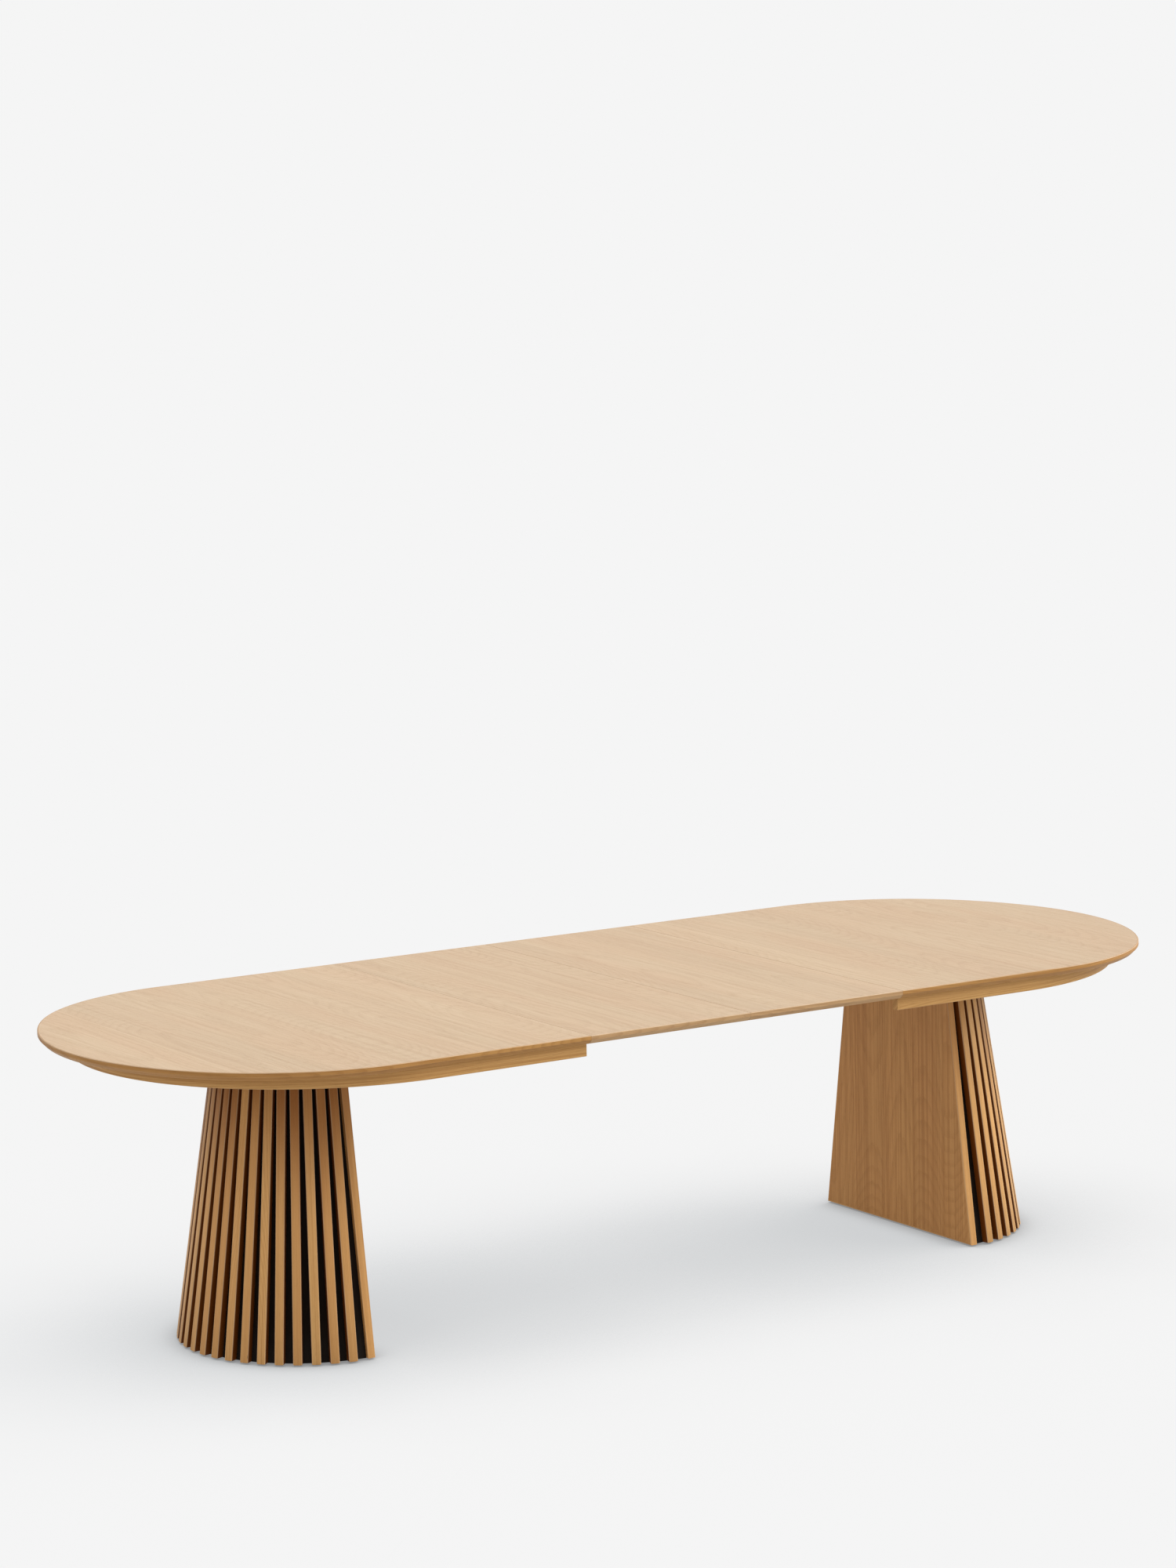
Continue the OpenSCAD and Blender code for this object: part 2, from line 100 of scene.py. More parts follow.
# How worn the rounded edges are, from 0 to 1. On the top's arris, its seams and the slats' edges the
# lightening is also a painted highlight.
TOP_WEAR_AND_HIGHLIGHT, UNDER_WEAR = 1.0, 0.15
APRON_WEAR, SLAT_WEAR_AND_HIGHLIGHT, PANEL_WEAR = 0.6, 0.8, 0.7


# ---------- colours, linear red, green and blue ----------

PALE_OAK = (0.458, 0.336, 0.220)
EDGE_OAK = (0.373, 0.193, 0.060)
LEAF_EDGE_OAK = (0.420, 0.262, 0.130)
APRON_OAK = (0.490, 0.278, 0.100)
PANEL_OAK = (0.490, 0.247, 0.082)
SLAT_OAK = (0.615, 0.350, 0.132)
BEECH = (0.56, 0.35, 0.19)
BIRCH = (0.62, 0.46, 0.28)
BLACK_STAIN, BLACK_GRAIN = (0.0045, 0.0022, 0.0009), (0.010, 0.0055, 0.0026)
DUST = (0.05, 0.045, 0.04)
ZINC = (0.62, 0.63, 0.64)
NYLON = (0.02, 0.02, 0.021)
FELT = (0.16, 0.15, 0.135)

# An oak's own colour is multiplied by these.
SHADE = (0.66, 0.55, 0.44)
LIGHT = (1.08, 1.10, 1.10)
PINKER = (1.02, 0.95, 0.92)
REDDER = (0.74, 0.60, 0.50)
# Darker, redder slat heads: painted shadow cast by the top, and partly a redder tone.
SHADE_AND_TONE_UNDER_TOP = (0.36, 0.21, 0.13)
# Painted shade on the slats' sides and backs, between slats.
GAP_SHADE = (0.20, 0.09, 0.022)
STRIP_DARK, PORE_DARK, KNOT_DARK = 0.92, 0.42, 0.14
# Lightening of rubbed edges over pale oak: wear and a painted highlight.
HIGHLIGHT_AND_WEAR_PALE = 1.12

# Waves of noise in one metre along the grain, across it and into the wood.
WANDER = (2.5, 45.0, 45.0)
FIBRES = (6.0, 620.0, 620.0)
STREAKS = (0.8, 130.0, 130.0)
CLOUDS = (1.5, 9.0, 9.0)
PORES = (45.0, 1500.0, 1500.0)
BEECH_FIBRES = (9.0, 420.0, 420.0)
BEECH_FLECKS = (130.0, 700.0, 700.0)
BLACK_FIBRES = (260.0, 260.0, 8.0)
BRUSHING = (60.0, 2500.0, 2500.0)
GROWTH_RINGS = 420.0
PLIES = 360.0
KNOT_CELLS = 17.0
STRIP_JOINT = 0.4 * MM


# ---------- surround, light, floor and camera ----------

SURROUND = 0.913
KEY = 3.5
KEY_ANGLE = math.radians(55)
KEY_FROM = Vector((1.30, -0.45, 1.10)).normalized()
FLOOR_REACH = 60.0
FLOOR_TINT = Vector((0.070, 0.063, 0.057))
SHADOW_TINT = Vector((0.735, 0.75, 0.76))
CONTACT_GLOW = 0.30
CONTACT_REACH, COVER_REACH = 0.09, 1.0

CAMERA_PLACE = (-5.683, -8.707, 2.667)
CAMERA_YAW, CAMERA_PITCH, CAMERA_ROLL = (math.radians(a) for a in (32.86, 7.79, 1.11))
CAMERA_LENS, CAMERA_SENSOR = 97.63, 36.0
CAMERA_FAR = 200


# ---------- mesh building ----------

class Shell:
    """Collects rings of points into one mesh, with grain, tone, and wear with a painted highlight
    stored on its points.
    """

    def __init__(self):
        self.points, self.faces, self.slots = [], [], []
        self.grain, self.tone, self.wear_and_highlight = [], [], []

    def ring(self, points, grains, wear_and_highlight=0.0, tone=0.0):
        """Adds points with their grain, and gives back their numbers."""
        first = len(self.points)
        self.points += [tuple(p) for p in points]
        self.grain += [tuple(g) for g in grains]
        self.tone += [tone] * len(points)
        self.wear_and_highlight += [wear_and_highlight] * len(points)
        return list(range(first, first + len(points)))

    def bridge(self, low, high, slots=None, closed=False):
        """Joins two rings with faces, in a material slot for each edge or all in the first one."""
        n = len(low)
        for i in range(n if closed else n - 1):
            j = (i + 1) % n
            self.faces.append((low[i], low[j], high[j], high[i]))
            self.slots.append(slots[i] if slots else 0)

    def cap(self, ring, flip=False):
        """Closes a ring with one flat face."""
        self.faces.append(tuple(reversed(ring)) if flip else tuple(ring))
        self.slots.append(0)

    def flat_face(self, ring, grain_at, flip):
        """Closes a ring with a flat face on points of its own, since its grain lies another way."""
        points = [Vector(self.points[i]) for i in ring]
        self.cap(self.ring(points, [grain_at(p) for p in points]), flip)

    def build(self, name, body, materials, mirrored=False, sharp_degrees=35):
        """Makes the piece, mirrored in x for the left side, and puts it on its body."""
        mesh = bpy.data.meshes.new(name)
        sign = -1 if mirrored else 1
        points = [(sign * x, y, z) for x, y, z in self.points]
        faces = [tuple(reversed(f)) for f in self.faces] if mirrored else self.faces
        mesh.from_pydata(points, [], faces)
        grain = mesh.attributes.new("grain", "FLOAT_VECTOR", "POINT")
        grain.data.foreach_set("vector", [c for g in self.grain for c in g])
        for label, values in (("tone", self.tone), ("wear_and_highlight", self.wear_and_highlight)):
            mesh.attributes.new(label, "FLOAT", "POINT").data.foreach_set("value", values)
        for material in materials:
            mesh.materials.append(material)
        mesh.polygons.foreach_set("material_index", self.slots)
        mesh.polygons.foreach_set("use_smooth", [True] * len(mesh.polygons))
        mesh.set_sharp_from_angle(angle=math.radians(sharp_degrees))
        mesh.update()
        piece = bpy.data.objects.new(name, mesh)
        bpy.context.scene.collection.objects.link(piece)
        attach(piece, body)
        return piece


def rounded(corners, radii, steps=4):
    """A polyline whose inner corners become arcs: [(u, v, on_arc)]. on_arc is 1 at an arc's middle
    and 0 at its ends."""
    line = [(*corners[0], 0.0)]
    for before, at, after, r in zip(corners, corners[1:], corners[2:], radii):
        a, b, c = Vector(before), Vector(at), Vector(after)
        to_a, to_c = (a - b).normalized(), (c - b).normalized()
        half = math.acos(max(-1, min(1, to_a.dot(to_c)))) / 2
        cut = r / math.tan(half)
        middle = b + (to_a + to_c).normalized() * (r / math.sin(half))
        start, end = b + to_a * cut - middle, b + to_c * cut - middle
        for i in range(steps + 1):
            share = i / steps
            spoke = (start * (1 - share) + end * share).normalized() * r
            line.append((*(middle + spoke), 1 - abs(2 * share - 1)))
    line.append((*corners[-1], 0.0))
    return line


def inset(outline, amounts):
    """Each edge of a convex outline, taken anticlockwise, moved in by its own amount."""
    nearly_straight = 0.02
    moved = []
    n = len(outline)
    for i in range(n):
        before, at, after = outline[i - 1], outline[i], outline[(i + 1) % n]
        d0 = (at - before).normalized()
        d1 = (after - at).normalized()
        n0, n1 = Vector((-d0.y, d0.x)), Vector((-d1.y, d1.x))
        e0, e1 = amounts[i - 1], amounts[i]
        turn = n0.x * n1.y - n0.y * n1.x
        if abs(turn) < nearly_straight:
            moved.append(at + (n0 + n1).normalized() * e1)
        else:
            x = (e0 * n1.y - e1 * n0.y) / turn
            y = (n0.x * e1 - n1.x * e0) / turn
            moved.append(at + Vector((x, y)))
    return moved


def running_length(outline):
    """Distance along a closed outline to each point, with the first one again at the end."""
    lengths = [0.0]
    for i in range(len(outline)):
        step = (outline[(i + 1) % len(outline)] - outline[i]).length
        lengths.append(lengths[-1] + step)
    return lengths


def arc(centre, radius, start, end, count):
    """Points on an arc, without its first one."""
    angles = [start + (end - start) * i / count for i in range(1, count + 1)]
    return [centre + radius * Vector((math.cos(a), math.sin(a))) for a in angles]


def d_outline():
    """Plan of the right half top, anticlockwise from its front seam corner, and which edges are
    seams. Three arcs round its end: their centres are 3, 4 and 5 units apart, so they join smoothly."""
    end_len = TOP_HIGH.x - SEAM_X - STRAIGHT
    unit = (HALF_W - end_len) / 2
    bend_x = SEAM_X + STRAIGHT
    side_r, nose_r = HALF_W - 3 * unit, HALF_W + 2 * unit
    join = math.atan2(3, 4)
    straight = [SEAM_X + STRAIGHT * i / STRAIGHT_STEPS for i in range(STRAIGHT_STEPS + 1)]
    points = [Vector((x, -HALF_W)) for x in straight]
    points += arc(Vector((bend_x, -3 * unit)), side_r, -math.pi / 2, -join, SIDE_STEPS)
    points += arc(Vector((bend_x - 4 * unit, 0)), nose_r, -join, join, NOSE_STEPS)
    points += arc(Vector((bend_x, 3 * unit)), side_r, join, math.pi / 2, SIDE_STEPS)
    points += [Vector((x, HALF_W)) for x in reversed(straight[:-1])]
    return points, [False] * (len(points) - 1) + [True]


# ---------- the table's wooden pieces ----------

def board(name, node, body, outline, seams, seed, edge, mirrored=False):
    """A top or leaf: veneer on its faces and seam edges, and a bevelled lipping on the others. The
    seed moves the grain along, so that no two boards are alike."""
    z0, z1 = TOP_LOW.z, TOP_HIGH.z
    corners = [(BEVEL + BOARD_RIM, z0), (BEVEL, z0), (0, z0 + BEVEL), (0, z1), (BOARD_RIM, z1)]
    profile = rounded(corners, BOARD_RADII)
    lengths = running_length(outline)
    shell = Shell()
    rings = []
    for k, (inward, z, on_arc) in enumerate(profile):
        at_seam = SEAM_GAP + max(0, SEAM_ARRIS - (z1 - z), SEAM_ARRIS - (z - z0))
        on_flat_face = k in (0, len(profile) - 1)
        if on_flat_face:
            at_seam += BOARD_RIM
        loop = inset(outline, [at_seam if seam else inward for seam in seams])
        loop.append(loop[0])
        across = z - z1 - inward + seed
        grains = [(s + seed, across, 0.0) for s in lengths]
        # The top's arris and its seam arrises are lightened as wear and as a painted highlight.
        worn_and_highlit = on_arc * (TOP_WEAR_AND_HIGHLIGHT if z > z1 - WORN_AND_HIGHLIT_TOP_EDGE else UNDER_WEAR)
        ring = shell.ring([(p.x, p.y, z) for p in loop], grains, wear_and_highlight=worn_and_highlit)
        rings.append(ring)
        for i, seam in enumerate(seams):
            if seam and z > z1 - SEAM_ARRIS:
                shell.wear_and_highlight[ring[i]] = shell.wear_and_highlight[ring[i + 1]] = TOP_WEAR_AND_HIGHLIGHT
    for low, high in zip(rings, rings[1:]):
        shell.bridge(low, high, slots=[0 if seam else 1 for seam in seams])
    for ring, flip in ((rings[0], True), (rings[-1], False)):
        shell.flat_face(ring[:-1], lambda p: (p.y, p.x + seed, p.z), flip)
    piece = shell.build(name, body, [veneer, edge], mirrored)
    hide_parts(node)


def tops_and_leaves():
    """Two D-shaped half tops, and two leaves with a seam on each long side."""
    outline, seams = d_outline()
    board("right_half_top", "right_top", "right_half", outline, seams, 0.31, lipping)
    board("left_half_top", "left_top", "left_half", outline, seams, 5.17, lipping, mirrored=True)
    leaf = [Vector(p) for p in ((LEAF_LOW.x, -HALF_W), (LEAF_HIGH.x, -HALF_W),
                                (LEAF_HIGH.x, HALF_W), (LEAF_LOW.x, HALF_W))]
    sides = [False, True, False, True]
    board("right_leaf_board", "right_leaf", "right_leaf", leaf, sides, 2.64, leaf_lipping)
    board("left_leaf_board", "left_leaf", "left_leaf", leaf, sides, 8.08, leaf_lipping, mirrored=True)


def apron(side, seed):
    """Solid strip bent round under a half top, half round at its end, with eased lower corners."""
    z0, z1 = APRON_LOW.z, APRON_HIGH.z
    radius = APRON_HIGH.y
    start_x, bend_x = SEAM_X + SEAM_GAP, APRON_HIGH.x - radius
    outline = [Vector((start_x, -radius)), Vector((bend_x, -radius))]
    outline += arc(Vector((bend_x, 0)), radius, -math.pi / 2, math.pi / 2, APRON_STEPS)
    outline.append(Vector((start_x, radius)))
    lengths = running_length(outline)
    section = rounded([(0, z1), (0, z0), (APRON_T, z0), (APRON_T, z1)], APRON_RADII)
    shell = Shell()
    rings = []
    for inward, z, on_arc in section:
        loop = inset(outline, [inward] * (len(outline) - 1) + [0])
        grains = [(s + seed, z - inward, 0.0) for s in lengths[:-1]]
        rings.append(shell.ring([(p.x, p.y, z) for p in loop], grains, wear_and_highlight=APRON_WEAR * on_arc))
    for low, high in zip(rings, rings[1:] + rings[:1]):
        shell.bridge(high, low)
    for end, flip in ((0, False), (-1, True)):
        shell.flat_face([ring[end] for ring in rings],
                        lambda p: (seed + p.y * END_GRAIN, p.y + p.z, 0.0), flip)
    piece = shell.build(f"{side}_apron_strip", f"{side}_half", [apron_oak], side == "left")
    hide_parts(f"{side}_apron")


def slat_section():
    """Plan of one slat about its own outer face: (out, along the core), with eased corners."""
    half = SLAT_W / 2
    corners = [(-SLAT_D, 0), (-SLAT_D, -half), (0, -half), (0, half), (-SLAT_D, half), (-SLAT_D, 0)]
    return rounded(corners, [SLAT_BACK_R, SLAT_FRONT_R, SLAT_FRONT_R, SLAT_BACK_R])[1:-1]


def slat_row(side, seed, palest):
    """The slats round one half cone, each leaning in along the cone. Each has its own stretch of
    grain and a tone up to 2 below palest: 1 is the plain colour and -1 the reddest."""
    rng = random.Random(seed)
    z0, z1 = SLATS_LOW.z, SLATS_HIGH.z
    section = slat_section()
    stations = [(z0, SLAT_CHAMFER), (z0 + SLAT_CHAMFER, 0), (z1 - SLAT_CHAMFER, 0), (z1, SLAT_CHAMFER)]
    shell = Shell()
    for i in range(SLAT_COUNT):
        turn = Matrix.Rotation((i - (SLAT_COUNT - 1) / 2) * SLAT_PITCH, 3, "Z")
        shift, tone = rng.uniform(0, 40), rng.uniform(palest - 2, palest)
        rings = []
        for z, tuck in stations:
            radius = SLAT_R_LOW + (SLAT_R_HIGH - SLAT_R_LOW) * (z - z0) / (z1 - z0)
            shrink = 1 - 2 * tuck / SLAT_D
            flat = [(radius - SLAT_D / 2 + (out + SLAT_D / 2) * shrink, across * shrink)
                    for out, across, _ in section]
            points = [turn @ Vector((r, t, 0)) + Vector((PANEL_LOW.x, 0, z)) for r, t in flat]
            grains = [(z + shift, t + shift, r - radius) for r, t in flat]
            rings.append(shell.ring(points, grains, tone=tone))
            # The slats' rounded corners are lightened as wear and as a painted highlight.
            for at, (_, _, on_arc) in zip(rings[-1], section):
                shell.wear_and_highlight[at] = SLAT_WEAR_AND_HIGHLIGHT * on_arc
        for low, high in zip(rings, rings[1:]):
            shell.bridge(low, high, closed=True)
        shell.cap(rings[0], flip=True)
        shell.cap(rings[-1])
    piece = shell.build(f"{side}_slat_row", f"{side}_half", [slat_oak], side == "left",
                        sharp_degrees=50)
    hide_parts(f"{side}_slats")


def panel(side, seed):
    """Flat panel on the inner side of a pedestal: veneered faces between lipped, eased edges."""
    z0, z1 = PANEL_LOW.z, PANEL_HIGH.z
    x0, x1 = PANEL_LOW.x, PANEL_HIGH.x
    low, high = PANEL_HIGH.y, PANEL_W_HIGH / 2
    outline = [Vector(p) for p in ((-low, z0), (low, z0), (high, z1), (-high, z1))]
    lip = PANEL_RADII[0] + PANEL_RIM
    profile = rounded([(lip, x0), (0, x0), (0, x1), (lip, x1)], PANEL_RADII, steps=5)
    lengths = running_length(outline)
    shell = Shell()
    rings = []
    for inward, x, on_arc in profile:
        loop = inset(outline, [inward] * len(outline))
        loop.append(loop[0])
        grains = [(s + seed, x, 0.0) for s in lengths]
        rings.append(shell.ring([(x, p.x, p.y) for p in loop], grains, wear_and_highlight=PANEL_WEAR * on_arc))
    for inner, outer in zip(rings, rings[1:]):
        shell.bridge(inner, outer, slots=[1] * len(outline))
    for ring, flip in ((rings[0], False), (rings[-1], True)):
        shell.flat_face(ring[:-1], lambda p: (p.z + seed, p.y + seed, p.x), flip)
    piece = shell.build(f"{side}_flat_panel", f"{side}_half", [panel_oak, slat_oak], side == "left")
    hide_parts(f"{side}_inner_panel")


# ---------- materials ----------

class Nodes:
    """Short way to write a shader tree on a principled surface."""

    def __init__(self, name):
        self.material = bpy.data.materials.new(name)
        self.material.use_nodes = True
        self.tree = self.material.node_tree
        self.surface = self.tree.nodes["Principled BSDF"]

    def add(self, kind, inputs=(), **settings):
        node = self.tree.nodes.new("ShaderNode" + kind)
        for key, value in settings.items():
            setattr(node, key, value)
        for key, value in dict(inputs).items():
            self.put(node.inputs[key], value)
        return node

    def put(self, socket, value):
        if isinstance(value, bpy.types.NodeSocket):
            self.tree.links.new(value, socket)
        elif socket.type == "RGBA":
            socket.default_value = (*value, 1)
        else:
            socket.default_value = value

    def attribute(self, name, output="Fac"):
        return self.add("Attribute", attribute_name=name).outputs[output]

    def place(self):
        """Where a point is in the frame's own coordinates, whatever the pose."""
        return self.add("TexCoord").outputs["Object"]

    def split(self, vector):
        return self.add("SeparateXYZ", {0: vector}).outputs

    def math(self, operation, a, b=0.0, c=0.0):
        return self.add("Math", {0: a, 1: b, 2: c}, operation=operation).outputs[0]

    def times(self, a, b):
        return self.math("MULTIPLY", a, b)

    def plus(self, a, b):
        return self.math("ADD", a, b)

    def vector(self, x, y, z):
        return self.add("CombineXYZ", {0: x, 1: y, 2: z}).outputs[0]

    def noise(self, vector, scale=1.0, detail=3.0, roughness=0.5):
        inputs = {"Vector": vector, "Scale": scale, "Detail": detail, "Roughness": roughness}
        return self.add("TexNoise", inputs).outputs[0]

    def stretched(self, place, waves, detail, roughness=0.5, start=0.0):
        """Noise with its own number of waves in a metre for each of three coordinates."""
        x, y, z = place
        by_x, by_y, by_z = waves
        x = self.math("MULTIPLY_ADD", x, by_x, start)
        vector = self.vector(x, self.times(y, by_y), self.times(z, by_z))
        return self.noise(vector, detail=detail, roughness=roughness)

    def spread(self, value, low, high):
        """Rises smoothly from 0 where the value is low to 1 where it is high."""
        node = self.add("MapRange", {0: value, 1: low, 2: high}, interpolation_type="SMOOTHSTEP")
        return node.outputs[0]

    def mix(self, share, a, b):
        return self.add("Mix", {0: share, 6: a, 7: b}, data_type="RGBA").outputs[2]

    def laid(self, base, mask, share, colour):
        """The base with a share of another colour laid over it where the mask is."""
        return self.mix(self.times(mask, share), base, colour)

    def bump(self, height, strength, depth):
        node = self.add("Bump", {"Height": height, "Strength": strength, "Distance": depth})
        self.put(self.surface.inputs["Normal"], node.outputs[0])

    def finish(self, colour, roughness, metallic=0.0, specular=0.5):
        for label, value in (("Base Color", colour), ("Roughness", roughness),
                             ("Metallic", metallic), ("Specular IOR Level", specular)):
            self.put(self.surface.inputs[label], value)
        return self.material


def tinted(colour, tint):
    """The colour with its red, green and blue each multiplied by the tint's."""
    return tuple(c * t for c, t in zip(colour, tint))


def toned(colour, share):
    """The colour made darker by a share below 1, or lighter by one above."""
    return tinted(colour, (share,) * 3)


def strips(n, across, strip):
    """Cuts the wood into strips: how far across its strip a point is, from -0.5 to 0.5, three
    chances for each strip, and the joint line between two."""
    count = n.math("DIVIDE", across, strip)
    whole = n.math("FLOOR", count)
    chance = n.add("TexWhiteNoise", {"W": whole}, noise_dimensions="1D").outputs["Color"]
    luck = n.add("SeparateColor", {0: chance}).outputs
    in_strip = n.math("SUBTRACT", n.math("FRACT", count), 0.5)
    joint = n.spread(n.math("ABSOLUTE", in_strip), 0.5 - STRIP_JOINT / strip, 0.5)
    return in_strip, luck, joint


def growth_rings(n, place, in_strip, luck, strip):
    """Growth rings about the tree's heart, which lies elsewhere in each strip, and bows and climbs
    along it. Where it comes near the face, the rings draw arches."""
    along, _, deep = place
    aside, sideways, upward = luck[1], luck[0], luck[2]
    heart = n.math("MULTIPLY_ADD", aside, 0.7, -0.35)
    bow = n.noise(n.vector(n.times(along, 0.9), n.times(sideways, 50.0), 0.0), detail=1.0)
    climb = n.noise(n.vector(n.times(along, 0.8), n.times(upward, 50.0), 9.0), detail=1.0)
    u = n.times(n.plus(in_strip, heart), strip)
    u = n.plus(u, n.math("MULTIPLY_ADD", bow, 0.03, -0.015))
    v = n.plus(n.times(climb, 0.11), n.times(deep, 0.6))
    radius = n.math("SQRT", n.plus(n.times(u, u), n.times(v, v)))
    wander = n.stretched(place, WANDER, detail=3.0)
    turns = n.plus(n.times(radius, GROWTH_RINGS), n.times(wander, 0.7))
    saw = n.math("FRACT", turns)
    return n.times(n.spread(saw, 0.35, 0.92), n.spread(saw, 1.0, 0.93))


def knots(n, place, fibres):
    """Where small knots with ragged rims are: in about a quarter of the cells the wood is cut into."""
    along, across, deep = place
    spot = n.vector(n.times(along, 0.55), across, deep)
    cells = n.add("TexVoronoi", {"Vector": spot, "Scale": KNOT_CELLS}, feature="F1").outputs
    rarity, size, _ = n.add("SeparateColor", {0: cells["Color"]}).outputs
    rare = n.math("GREATER_THAN", rarity, 0.72)
    ragged = n.math("MULTIPLY_ADD", size, 0.05, cells["Distance"])
    ragged = n.math("MULTIPLY_ADD", fibres, 0.10, ragged)
    return n.times(n.spread(ragged, 0.118, 0.085), rare)


def slat_marks(n, base, colour, place, fibres, clouds):
    """What the slats alone show: a tone for each, heads darker and redder with painted shadow from the
    top and partly a redder tone, painted shade on their sides and backs between slats, and knots.
    """
    tone = n.attribute("tone")
    height = n.split(n.place())[2]
    # Painted shadow cast by the top, partly a redder tone, darkening the slats towards their heads.
    shade_and_tone_under_top = n.times(n.spread(height, 0.30, 0.70), n.spread(clouds, 0.20, 0.60))
    shade_and_tone_under_top = n.times(shade_and_tone_under_top, n.spread(tone, 1.6, -0.4))
    # Painted shade on the slats' sides and backs, between the slats and towards the core.
    gap_shade = n.spread(place[2], -0.2 * MM, -2.0 * MM)
    for mask, share, over in ((n.spread(tone, 1.0, -1.0), 0.55, tinted(colour, REDDER)),
                              (shade_and_tone_under_top, 0.9, tinted(colour, SHADE_AND_TONE_UNDER_TOP)),
                              (gap_shade, 1.0, tinted(colour, GAP_SHADE)),
                              (knots(n, place, fibres), 0.9, toned(colour, KNOT_DARK))):
        base = n.laid(base, mask, share, over)
    return base


def oak(name, colour, strip, figure, streak, fibre, pore=0.3, patch=0.3, rub_and_highlight=0.45, slats=False):
    """Lacquered oak. The grain attribute gives metres along, across and into the wood. Growth
    rings are cut by strips of veneer or staves, under fibres, open pores and soft tone changes.
    Figure, streak, fibre, pore, patch and the edge share after them say how strongly rings, streaks,
    fibres, pores, strips and worn edges show; the worn edges are lightened as wear and as a painted
    highlight."""
    n = Nodes(name)
    place = n.split(n.attribute("grain", "Vector"))
    in_strip, luck, joint = strips(n, place[1], strip)
    rings = growth_rings(n, place, in_strip, luck, strip)
    fibres = n.stretched(place, FIBRES, detail=4.0, roughness=0.65)
    streaks = n.stretched(place, STREAKS, detail=4.0, roughness=0.6)
    clouds = n.stretched(place, CLOUDS, detail=2.0)
    dashes = n.stretched(place, PORES, detail=1.0, start=4.0)
    pores = n.spread(n.math("MULTIPLY_ADD", rings, 0.07, dashes), 0.60, 0.72)

    shade = tinted(colour, SHADE)
    base = n.laid(tinted(colour, LIGHT), luck[0], patch, toned(colour, STRIP_DARK))
    for mask, share, over in ((n.spread(clouds, 0.3, 0.7), 0.55, tinted(colour, PINKER)),
                              (rings, figure, shade),
                              (n.spread(streaks, 0.42, 0.64), streak, shade),
                              (n.spread(fibres, 0.40, 0.75), fibre, shade),
                              (pores, pore, toned(colour, PORE_DARK)),
                              (joint, 0.25, shade)):
        base = n.laid(base, mask, share, over)
    if slats:
        base = slat_marks(n, base, colour, place, fibres, clouds)
    # Rounded edges lightened, as wear and as a painted highlight.
    rubbed_and_highlight = n.times(n.attribute("wear_and_highlight"), n.spread(fibres, 0.15, 0.55))
    base = n.laid(base, rubbed_and_highlight, rub_and_highlight, toned(PALE_OAK, HIGHLIGHT_AND_WEAR_PALE))

    roughness = n.math("MULTIPLY_ADD", fibres, 0.14, 0.38)
    roughness = n.math("MULTIPLY_ADD", pores, 0.15, roughness)
    height = n.math("MULTIPLY_ADD", fibres, 0.4, n.times(rings, -0.15))
    n.bump(n.math("SUBTRACT", height, pores), 0.4, 0.2 * MM)
    return n.finish(base, roughness, specular=0.12)


def plain_wood(name, colour, layers=False, crosswise=False):
    """Structural wood, in the frame's own coordinates: beech, or plywood with its plies. Its grain
    runs along the table, or across it where the piece does."""
    n = Nodes(name)
    x, y, z = n.split(n.place())
    place = (y, x, z) if crosswise else (x, y, z)
    fibres = n.stretched(place, BEECH_FIBRES, detail=4.0)
    flecks = n.stretched(place, BEECH_FLECKS, detail=1.0)
    base = n.mix(n.spread(fibres, 0.3, 0.7), colour, toned(colour, 0.80))
    base = n.laid(base, n.spread(flecks, 0.6, 0.7), 0.5, toned(colour, 0.5))
    if layers:
        ply = n.math("FRACT", n.times(z, PLIES))
        base = n.laid(base, n.math("GREATER_THAN", ply, 0.5), 0.45, toned(colour, 0.55))
    n.bump(fibres, 0.3, 0.2 * MM)
    return n.finish(base, n.plus(0.55, n.times(fibres, 0.15)))


def black_stain():
    """Black stained plywood behind the slats, a little dusty towards the floor."""
    n = Nodes("black_stained_core")
    at = n.place()
    x, y, z = n.split(at)
    fibres = n.stretched((x, y, z), BLACK_FIBRES, detail=4.0)
    dust = n.times(n.spread(z, 0.12, 0.0), n.noise(at, scale=30.0))
    base = n.mix(n.spread(fibres, 0.3, 0.8), BLACK_STAIN, BLACK_GRAIN)
    base = n.laid(base, dust, 0.25, DUST)
    n.bump(fibres, 0.4, 0.2 * MM)
    return n.finish(base, n.plus(0.65, n.times(fibres, 0.2)), specular=0.08)


def zinc_plated():
    """Plated steel, brushed along the table, with soft blotches."""
    n = Nodes("zinc_plated_steel")
    at = n.place()
    brushed = n.stretched(n.split(at), BRUSHING, detail=2.0)
    blotches = n.noise(at, scale=45.0)
    base = n.mix(n.spread(blotches, 0.4, 0.7), ZINC, toned(ZINC, 0.82))
    n.bump(brushed, 0.15, 0.05 * MM)
    return n.finish(base, n.plus(0.32, n.times(brushed, 0.25)), metallic=1.0)


def speckled(name, colour, rough, grit):
    """Moulded nylon or pressed felt: one colour with a fine grit, in waves to the metre."""
    n = Nodes(name)
    texture = n.noise(n.place(), scale=grit, detail=2.0)
    base = n.mix(n.spread(texture, 0.35, 0.7), colour, toned(colour, 0.7))
    n.bump(texture, 0.3, 0.1 * MM)
    return n.finish(base, n.plus(rough, n.times(texture, 0.15)))


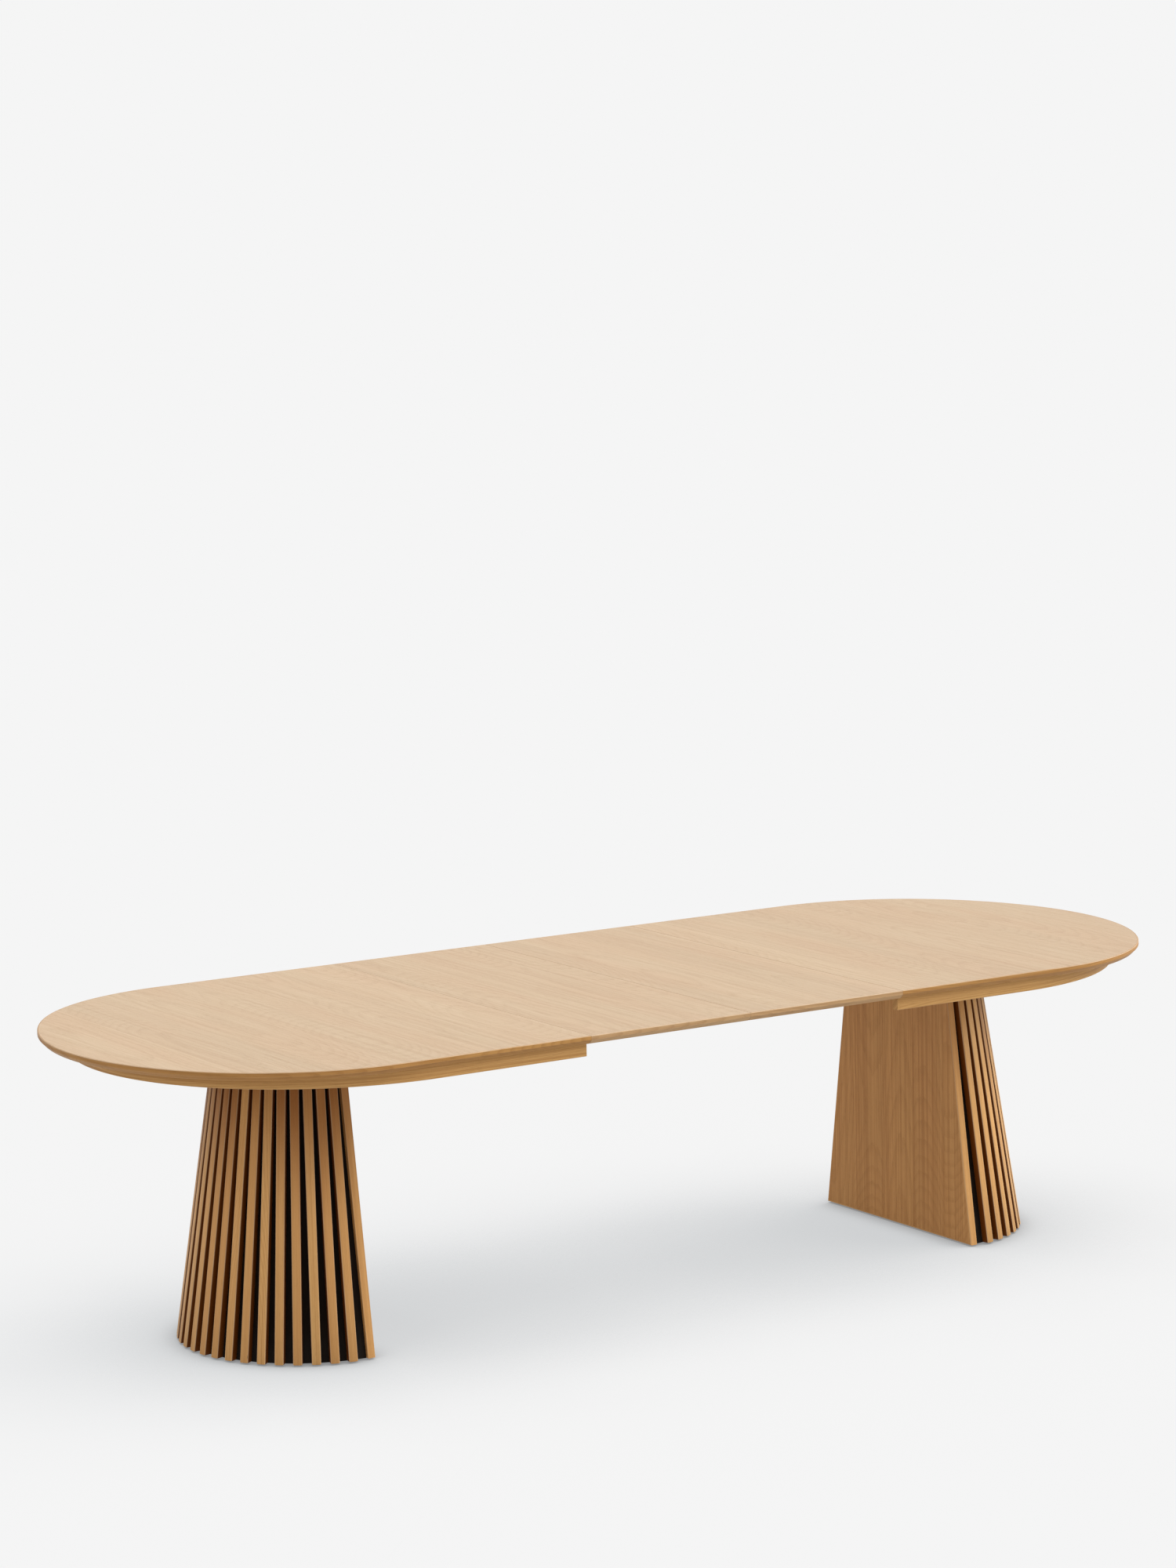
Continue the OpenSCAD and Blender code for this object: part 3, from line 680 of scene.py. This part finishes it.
def dress_frame():
    """Materials for the CAD pieces that stay in view under the table."""
    cross_beech = plain_wood("waxed_beech_crosswise", BEECH, crosswise=True)
    crosswise = ("cross_bars", "left_leaf_cleats", "right_leaf_cleats")
    finishes = {
        "beech": plain_wood("waxed_beech", BEECH),
        "birch_plywood": plain_wood("birch_plywood", BIRCH, layers=True),
        "black_core": black_stain(),
        "steel": zinc_plated(),
        "nylon": speckled("black_nylon", NYLON, 0.45, grit=900.0),
        "felt": speckled("pressed_felt", FELT, 0.85, grit=400.0),
        "top_oak": veneer,
        "apron_oak": apron_oak,
        "panel_oak": panel_oak,
        "slat_oak": slat_oak,
    }
    for row in frame["record"]["subparts"]:
        finish = finishes[row["material_slot"]]
        mesh = frame["nodes"][row["node"]].data
        mesh.materials.clear()
        mesh.materials.append(cross_beech if row["node"] in crosswise else finish)


# ---------- stage ----------

def white_surround():
    """White all round, which lights the table evenly."""
    world = bpy.data.worlds.new("studio")
    world.use_nodes = True
    background = world.node_tree.nodes["Background"]
    background.inputs["Color"].default_value = (1, 1, 1, 1)
    background.inputs["Strength"].default_value = SURROUND
    bpy.context.scene.world = world


def key_light():
    """A broad soft light from the right, in front and above."""
    data = bpy.data.lights.new("key_softbox", "SUN")
    data.energy, data.angle = KEY, KEY_ANGLE
    lamp = bpy.data.objects.new("key_softbox", data)
    lamp.rotation_euler = KEY_FROM.to_track_quat("Z", "Y").to_euler()
    bpy.context.scene.collection.objects.link(lamp)


def floor_finish():
    """Glows as the surround does, less what the lights add, so that no edge shows between them. The
    glow fades under the table, and more so round its feet. From below, the floor is clear."""
    n = Nodes("pale_floor")
    glow = Vector((SURROUND,) * 3) - FLOOR_TINT * (SURROUND + KEY * KEY_FROM.z / math.pi)
    contact, cover = (n.add("AmbientOcclusion", {"Distance": reach}, samples=8).outputs["AO"]
                      for reach in (CONTACT_REACH, COVER_REACH))
    under = n.mix(n.spread(cover, 0.36, 0.90), glow * SHADOW_TINT, glow)
    near = n.mix(n.spread(contact, 0.1, 1.0), glow * CONTACT_GLOW, under)
    n.put(n.surface.inputs["Emission Color"], near)
    n.put(n.surface.inputs["Emission Strength"], 1.0)
    from_below = n.add("NewGeometry").outputs["Backfacing"]
    clear = n.add("BsdfTransparent").outputs[0]
    one_sided = n.add("MixShader", {0: from_below, 1: n.surface.outputs[0], 2: clear})
    n.put(n.tree.nodes["Material Output"].inputs["Surface"], one_sided.outputs[0])
    return n.finish(FLOOR_TINT, 1.0, specular=0.0)


def studio_floor():
    """A floor that runs far past the picture."""
    corners = [(x * FLOOR_REACH, y * FLOOR_REACH, 0) for x, y in ((-1, -1), (1, -1), (1, 1), (-1, 1))]
    mesh = bpy.data.meshes.new("studio_floor")
    mesh.from_pydata(corners, [], [(0, 1, 2, 3)])
    mesh.materials.append(floor_finish())
    floor = bpy.data.objects.new("studio_floor", mesh)
    bpy.context.scene.collection.objects.link(floor)


def camera():
    """Stands in front of the left end, looking a little down, as in the photograph."""
    data = bpy.data.cameras.new("camera")
    data.lens, data.sensor_width = CAMERA_LENS, CAMERA_SENSOR
    data.clip_end = CAMERA_FAR
    eye = bpy.data.objects.new("camera", data)
    bpy.context.scene.collection.objects.link(eye)
    place = Matrix.Translation(CAMERA_PLACE)
    yaw = Matrix.Rotation(-CAMERA_YAW, 4, "Z")
    pitch = Matrix.Rotation(math.pi / 2 - CAMERA_PITCH, 4, "X")
    roll = Matrix.Rotation(-CAMERA_ROLL, 4, "Z")
    eye.matrix_world = place @ yaw @ pitch @ roll
    bpy.context.scene.camera = eye


# ---------- the table ----------

veneer = oak("pale_oak_veneer", PALE_OAK, strip=0.17, figure=0.07, streak=0.22, fibre=0.32,
             pore=0.2, patch=0.5)
lipping = oak("oak_lipping", EDGE_OAK, strip=0.05, figure=0.30, streak=0.45, fibre=0.45, rub_and_highlight=1.0)
leaf_lipping = oak("oak_leaf_lipping", LEAF_EDGE_OAK, strip=0.05, figure=0.25, streak=0.35,
                   fibre=0.4, rub_and_highlight=1.0)
apron_oak = oak("apron_oak", APRON_OAK, strip=0.09, figure=0.45, streak=0.6, fibre=0.5)
panel_oak = oak("panel_oak_veneer", PANEL_OAK, strip=0.13, figure=0.20, streak=0.55, fibre=0.60,
                patch=0.8)
slat_oak = oak("slat_oak", SLAT_OAK, strip=0.4, figure=0.35, streak=0.50, fibre=0.55, rub_and_highlight=0.6,
               slats=True)

tops_and_leaves()
# The right row reaches higher tones, so its slats stay paler with less painted shadow: painted light,
# where the key falls on that side.
for side, seed, palest in (("left", 3.3, 0.6), ("right", 11.9, 2.4)):
    apron(side, seed)
    slat_row(side, int(seed * 10), palest)
    panel(side, seed)
dress_frame()
white_surround()
key_light()
studio_floor()
camera()
bpy.context.scene.view_settings.view_transform = "Standard"
